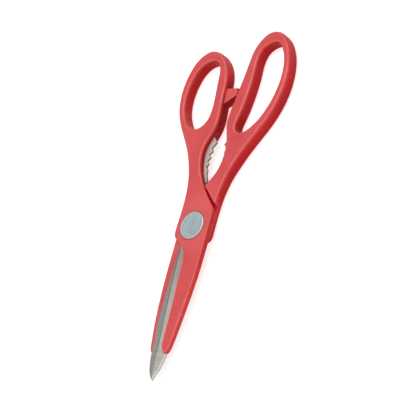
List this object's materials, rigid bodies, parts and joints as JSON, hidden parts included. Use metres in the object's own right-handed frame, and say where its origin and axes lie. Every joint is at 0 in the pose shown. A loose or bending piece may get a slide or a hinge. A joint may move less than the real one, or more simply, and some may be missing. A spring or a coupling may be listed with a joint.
{
  "type": "poultry shears",
  "caption": "Hand shears with moulded loop handles, plastic blade covers, fine-serrated steel blades, toothed jaws between the arms and a capped screw pivot.",
  "frame": {"origin": "where the pivot axis meets the plane the shears lie on, at the centre of the rear pivot cap's face", "axes": "+Y towards the handles, -Y towards the tip, +X towards the finger loop, +Z out of the front face; the shears lie flat and closed"},
  "size_m": [0.0747, 0.2004, 0.008],
  "materials": {
    "red_plastic": "moulded, satin",
    "blade_steel": "ground",
    "cap_metal": "satin face, bright rim",
    "fastener_steel": "turned",
    "spring_steel": "tempered"
  },
  "bodies": {
    "finger_half": {"finger_handle": "red_plastic", "rear_blade": "blade_steel", "rear_cap": "cap_metal", "rear_washer": "fastener_steel", "pivot_nut": "fastener_steel", "pivot_screw": "fastener_steel", "spring_washer": "spring_steel"},
    "thumb_half": {"thumb_handle": "red_plastic", "front_blade": "blade_steel", "front_cap": "cap_metal", "front_washer": "fastener_steel"}
  },
  "joints": [
    {"name": "shears_pivot", "type": "hinge", "parent": "finger_half", "child": "thumb_half", "pos_m": [0, 0, 0.004], "axis": [0, 0, 1], "range_deg": [-0.7, 60]}
  ]
}
